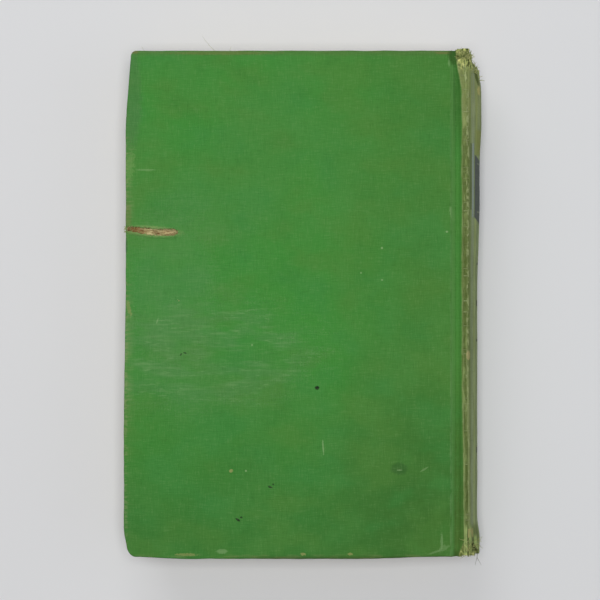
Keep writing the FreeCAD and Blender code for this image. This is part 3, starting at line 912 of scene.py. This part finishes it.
def fold_tail(bm):
    """The cloth at the tail of the spine is folded in over the end of the card."""
    tail = [edge for edge in bm.edges if len(edge.link_faces) == 1
            and all(v.co.y < TAIL + 1.6 and v.co.x > CREST_END + 1.8 for v in edge.verts)]
    radius = 1 - (CARD + 2 * CLOTH) / SPINE_ARC

    def inwards(place):
        away = Vector((place.x - SPINE_MIDDLE, 0, place.z - MID)) * radius
        return Vector((SPINE_MIDDLE + away.x, place.y, MID + away.z))

    row = extrude(bm, tail, inwards)
    for _ in range(4):
        row = extrude(bm, row, lambda place: place + Vector((0, 3.0, 0)))


def make_spine_card():
    """The strip of card inside the cloth of the spine."""
    half_turn = math.asin((CARD_HIGH.z - MID) / SPINE_ARC)
    bm = spin_strip(half_turn, SPINE_ARC - CLOTH - 0.1, CARD_LOW.y, CARD_HIGH.y, 24)
    slice_mesh(bm, 1, HEAD - 18, HEAD, 0.7, lambda place: place.y > HEAD - 18)
    tear_head(bm, 1.2)
    for vertex in bm.verts:
        vertex.co.x -= waist(vertex.co.y) * smooth(CREST_END - 0.5, SPINE, vertex.co.x)
    piece = finish_piece(bm, "spine_card", BOARD_FINISH, CARD)
    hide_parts("spine_inlay")
    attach(piece, "book_block")


def make_leaves():
    """The book block with its sections of leaves standing slightly out and in."""
    bm = bmesh.new()
    bm.from_mesh(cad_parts["text_block"].data)
    bmesh.ops.scale(bm, vec=(1 / MM, 1 / MM, 1 / MM), verts=bm.verts)
    bmesh.ops.remove_doubles(bm, verts=bm.verts, dist=1e-3)
    bmesh.ops.dissolve_limit(bm, angle_limit=math.radians(1), verts=bm.verts, edges=bm.edges)
    low, high = TEXT_LOW.z + 1.9, TEXT_HIGH.z - 1.9
    count = 64
    layer = (high - low) / count
    slice_mesh(bm, 2, low, high, layer / 2)
    slice_mesh(bm, 1, TEXT_LOW.y, TEXT_HIGH.y, 8.5)
    dice = random.Random(7)
    shifts = [(dice.uniform(-0.2, 0.2), dice.uniform(-0.16, 0.16), dice.uniform(-0.16, 0.16))
              for _ in range(count + 1)]
    for vertex in bm.verts:
        place = vertex.co.copy()
        number = int((place.z - low) / layer + 0.25)
        if not 0 < number < count:
            continue
        fore, head, tail = shifts[number]
        wave = 0.12 * wander(Vector((0, place.y, number * 9.0)), 30.0, 14.0)
        if place.x < TEXT_LOW.x + 6:
            vertex.co.x += fore + wave
        if place.y > TEXT_HIGH.y - 0.1:
            vertex.co.y += head
        if place.y < TEXT_LOW.y + 0.1:
            vertex.co.y += tail
    piece = finish_piece(bm, "leaves", LEAVES_FINISH, rounded=False)
    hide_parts("text_block")
    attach(piece, "book_block")


def make_pastedown(side):
    """The endpaper on a board, with the step of the folded cloth showing through it."""
    fold = PASTE_HIGH.x + 0.2
    bm = flat_sheet(PASTE_LOW.x, fold, PASTE_LOW.y, PASTE_HIGH.y, PASTE_LOW.z)
    slice_mesh(bm, 0, PASTE_LOW.x, EDGE, 2.0)
    slice_mesh(bm, 0, EDGE, fold, 0.35)
    slice_mesh(bm, 1, PASTE_LOW.y, PASTE_HIGH.y, 3.4)
    for vertex in bm.verts:
        place = vertex.co.copy()
        inside = min(place.x - (FORE + TURN_IN), HEAD - TURN_IN - abs(place.y),
                     GAUZE_LOW.x - place.x)
        vertex.co.z += 0.4 * smooth(-0.6, 1.2, inside)
        vertex.co.z += 0.05 * wander(place, 8.0, 15.0) * smooth(0.0, 4.0, inside)
    row = edges_where(bm, lambda place: place.x > fold - 0.01)
    row = extrude(bm, row, lambda place: place + Vector((FOLD_FOOT - fold, 0, 0)))
    for _ in range(6):
        row = extrude(bm, row, lambda place: place + Vector((0.25, 0, 0.25)))
    face_along(bm, Vector((0, 0, -1)))
    if side == "front":
        flip_to_front(bm)
    piece = finish_piece(bm, f"{side}_pastedown_sheet", PASTEDOWN_FINISH, PAPER)
    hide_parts(f"{side}_pastedown")
    blend_at_hinge(piece, side)


def make_endpaper_fold(side):
    """The fold of the endpaper: from the flyleaf up the shoulder of the leaves to the hinge."""
    bm = bmesh.new()
    ends = [bm.verts.new((FLYLEAF_HIGH.x - 1.0, y, FLYLEAF_HIGH.z))
            for y in (PASTE_LOW.y, PASTE_HIGH.y)]
    row = [bm.edges.new(ends)]
    foot = Vector((FOLD_FOOT - 0.3, 0, FLYLEAF_HIGH.z + PAPER))
    row = extrude(bm, row, lambda place: Vector((foot.x, place.y, foot.z)))
    for _ in range(6):
        row = extrude(bm, row, lambda place: place + Vector((0.28, 0, 0.28)))
    slice_mesh(bm, 1, PASTE_LOW.y, PASTE_HIGH.y, 12.0)
    face_along(bm, Vector((0, 0, 1)))
    if side == "front":
        flip_to_front(bm)
    piece = finish_piece(bm, f"{side}_endpaper_fold", FLYLEAF_FINISH, PAPER / 2)
    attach(piece, "book_block")


def make_gauze(side):
    """The gauze on the inside of a board, through the groove to the book block."""
    bm = flat_sheet(GAUZE_LOW.x, GAUZE_HIGH.x, GAUZE_LOW.y, GAUZE_HIGH.y, GAUZE_HIGH.z)
    slice_mesh(bm, 0, EDGE, GAUZE_HIGH.x, 0.5)
    slice_mesh(bm, 1, GAUZE_LOW.y, GAUZE_HIGH.y, 8.0)
    for vertex in bm.verts:
        vertex.co.y += 0.5 * wander(vertex.co.copy(), 3.0, 16.0)
    if side == "front":
        flip_to_front(bm)
    piece = finish_piece(bm, f"{side}_gauze", FLANGE_FINISH, GAUZE)
    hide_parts(f"{side}_mull_flange")
    blend_at_hinge(piece, side)


def thread_mesh(bm, points, radius):
    """A thin tapering thread along a few points."""
    end = len(points) - 1
    steps = []
    for number, place in enumerate(points):
        along = points[min(end, number + 1)] - points[max(0, number - 1)]
        turn = along.to_track_quat("Z", "Y").to_matrix().to_4x4()
        thin = radius * (1 - 0.6 * number / end)
        steps.append(Matrix.Translation(place) @ turn @ Matrix.Scale(thin, 4))
    thread = bmesh.new()
    bmesh.ops.create_circle(thread, segments=4, radius=1, cap_ends=True, matrix=steps[0])
    rim = thread.edges[:]
    for low, high in zip(steps, steps[1:]):
        rim = extrude(thread, rim, lambda place: high @ low.inverted() @ place)
    bmesh.ops.contextual_create(thread, geom=rim)
    add_mesh(bm, thread)


def on_spine(x, out=0.0):
    """The height of the spine's surface on the back cover's side, and its outward direction."""
    run = min(max(x, CREST_END), SPINE - 0.02) - SPINE_MIDDLE
    rise = math.sqrt(max(0.0, SPINE_ARC ** 2 - run ** 2))
    if x < CREST_END:
        return Vector((x, 0, CREST + out)), Vector((0, 0, 1))
    away = Vector((run, 0, rise)).normalized()
    return Vector((SPINE_MIDDLE + run, 0, MID + rise)) + away * out, away


def stray(dice, start, direction, length, curl, count=6):
    """Points of a loose fibre that starts in a direction and wanders off it."""
    points = [start]
    heading = direction.normalized()
    for _ in range(count):
        turn = Vector([dice.uniform(-1, 1) for _ in range(3)]) * curl
        heading = (heading + turn).normalized()
        points.append(points[-1] + heading * length / count)
    return points


def press_down(points):
    """Keep the fibres below the back cover where it lies over the spine when it is open."""
    for point in points:
        if point.x > OPEN_EDGE - 1.0:
            point.z = min(point.z, OPEN_FACE - 0.3)


def make_frayed_threads():
    """Loose fibres at the torn head and the frayed tail of the spine."""
    bm = bmesh.new()
    dice = random.Random(11)
    for _ in range(150):
        x = dice.uniform(HINGE - 1.5, SPINE - 1.0)
        place, away = on_spine(x, dice.uniform(-0.3, 0.2))
        place.y = min(HEAD, tear_line(x)) - dice.uniform(0, 3.5)
        heading = Vector((dice.uniform(-0.7, 0.6), dice.uniform(-0.3, 1.0), 0)) + away * 0.25
        points = stray(dice, place, heading, dice.uniform(1.2, 3.2), 0.45)
        press_down(points)
        if max(point.y for point in points) < HEAD + 1.6:
            thread_mesh(bm, points, dice.uniform(0.08, 0.22))
    for _ in range(90):
        x = dice.uniform(HINGE + 0.4, SPINE - 1.2)
        place, away = on_spine(x, dice.uniform(-0.2, 0.25))
        place.y = TAIL + dice.uniform(0.2, 7.0)
        heading = Vector((dice.uniform(-0.6, 0.6), dice.uniform(-1.0, 0.5), 0)) + away * 0.2
        points = stray(dice, place, heading, dice.uniform(1.2, 3.0), 0.4)
        press_down(points)
        if min(point.y for point in points) > TAIL - 0.9:
            thread_mesh(bm, points, dice.uniform(0.07, 0.13))
    finish_threads(bm, "frayed_threads", THREAD_FINISH, "book_block")


def make_gash_fibres():
    """Bare fibres along the lips of the gash and the torn fore-edge beside it."""
    bm = bmesh.new()
    dice = random.Random(5)
    for _ in range(110):
        x = FORE + 0.6 + 21.5 * dice.random()
        middle, half = gash_half(x)
        side = dice.choice((-1, 1))
        place = Vector((x, middle + side * half, TOP + dice.uniform(-0.1, 0.35)))
        heading = Vector((dice.uniform(-1, 1), -side * dice.uniform(0.2, 1.0),
                          dice.uniform(-0.3, 0.1)))
        thread_mesh(bm, stray(dice, place, heading, dice.uniform(0.6, 1.8), 0.3, 4), 0.07)
    for _ in range(26):
        place = Vector((FORE + 0.3, 30.8 + dice.uniform(-1.3, 1.3), TOP - dice.uniform(0.1, 1.5)))
        heading = Vector((-1, dice.uniform(-0.6, 0.6), dice.uniform(-0.2, 0.3)))
        thread_mesh(bm, stray(dice, place, heading, dice.uniform(0.5, 1.3), 0.35, 4), 0.1)
    finish_threads(bm, "gash_fibres", THREAD_FINISH, "back_cover")


def make_edge_fibres():
    """Single fine fibres that stand out from the head edge and the corner of the back cover."""
    bm = bmesh.new()
    dice = random.Random(3)
    starts = [(-66.5, HEAD, 2.2, (-0.5, 0.9)), (-31.0, HEAD, 2.0, (0.2, 1.0)),
              (-37.0, HEAD, 8.5, (-0.85, 0.5))]
    for x, y, length, (right, up) in starts:
        place = Vector((x, y - 0.1, TOP - 0.5))
        points = stray(dice, place, Vector((right, up, 0.05)), length, 0.12, 8)
        thread_mesh(bm, points, 0.06)
    finish_threads(bm, "edge_fibres", THREAD_FINISH, "back_cover")


def make_hanging_thread():
    """The dark forked thread that hangs out of the tail of the spine."""
    bm = bmesh.new()
    top = Vector((72.7, TAIL + 1.0, MID + 6))
    fork = Vector((72.7, TAIL - 2.0, MID + 5))
    dice = random.Random(2)
    thread_mesh(bm, [top, (top + fork) / 2 + Vector((0.1, 0, 0.2)), fork], 0.16)
    thread_mesh(bm, stray(dice, fork, Vector((-0.25, -1, -0.1)), 3.4, 0.12), 0.11)
    thread_mesh(bm, stray(dice, fork, Vector((0.75, -1, 0.0)), 3.8, 0.12), 0.11)
    finish_threads(bm, "hanging_thread", DARK_THREAD_FINISH, "book_block")


def dress_node(name, material):
    """Give a CAD piece that keeps its own shape its finish."""
    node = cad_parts[name]
    node.data.materials.clear()
    node.data.materials.append(material)


def make_stage():
    """A plain pale table, large soft lamps and the camera straight above the book."""
    bm = flat_sheet(-3000, 3000, -3000, 3000, 0.0)
    f = Finish("pale_table", 0.9, (214, 215, 217))
    f.paint(f.cloud(300, 2.0, 61.0), 218, 218, 219)
    floor = finish_piece(bm, "table_top", f.done())

    world = bpy.data.worlds.new("soft_room")
    world.use_nodes = True
    world.node_tree.nodes["Background"].inputs["Color"].default_value = (0.97, 0.98, 1.0, 1.0)
    world.node_tree.nodes["Background"].inputs["Strength"].default_value = 0.22
    bpy.context.scene.world = world
    add_lamp("overhead_softbox", (0.0, 0.02, 1.3), 0.45, 10.0)
    add_lamp("head_side_softbox", (-0.35, 1.0, 0.9), 0.9, 5.4)
    add_lamp("spine_side_softbox", (1.1, -0.1, 0.8), 0.9, 1.1)

    view = bpy.data.cameras.new("camera")
    view.sensor_width = 36
    view.lens = 36 * CAMERA_ABOVE / VIEW_WIDTH
    view.clip_end = 10
    camera = bpy.data.objects.new("camera", view)
    camera.location = (VIEW_X * MM, VIEW_Y * MM, (TOP + CAMERA_ABOVE) * MM)
    bpy.context.scene.collection.objects.link(camera)
    bpy.context.scene.camera = camera
    bpy.context.scene.view_settings.view_transform = "Standard"


def add_lamp(name, place, size, power):
    lamp = bpy.data.lights.new(name, "AREA")
    lamp.size = size
    lamp.energy = power
    holder = bpy.data.objects.new(name, lamp)
    holder.location = place
    holder.rotation_euler = Vector(place).to_track_quat("Z", "Y").to_euler()
    bpy.context.scene.collection.objects.link(holder)


make_stage()
CLOTH_FINISH = cloth_finish()
BOARD_FINISH = board_finish()
TORN_BOARD_FINISH = torn_board_finish()
LEAVES_FINISH = leaves_finish()
ENDPAPER = ((224, 212, 184), (208, 192, 158), (172, 140, 96))
FLYLEAF_FINISH = paper_finish("flyleaf_paper", *ENDPAPER)
PASTEDOWN_FINISH = paper_finish("pastedown_paper", *ENDPAPER, follows=True)
LINER_FINISH = paper_finish("lining_paper", (170, 142, 100), (150, 120, 80), (110, 84, 52))
MULL_FINISH = gauze_finish("glued_gauze")
FLANGE_FINISH = gauze_finish("pasted_gauze", follows=True)
THREAD_FINISH = thread_finish()
DARK_THREAD_FINISH = dark_thread_finish()

for cover_side in ("front", "back"):
    make_cover_cloth(cover_side)
    make_pastedown(cover_side)
    make_gauze(cover_side)
    make_endpaper_fold(cover_side)
    dress_node(f"{cover_side}_board", BOARD_FINISH)
    dress_node(f"{cover_side}_flyleaf", FLYLEAF_FINISH)
make_spine_cloth()
make_spine_card()
make_leaves()
make_frayed_threads()
make_torn_board()
make_gash_fibres()
make_edge_fibres()
make_hanging_thread()
dress_node("mull", MULL_FINISH)
dress_node("spine_liner", LINER_FINISH)
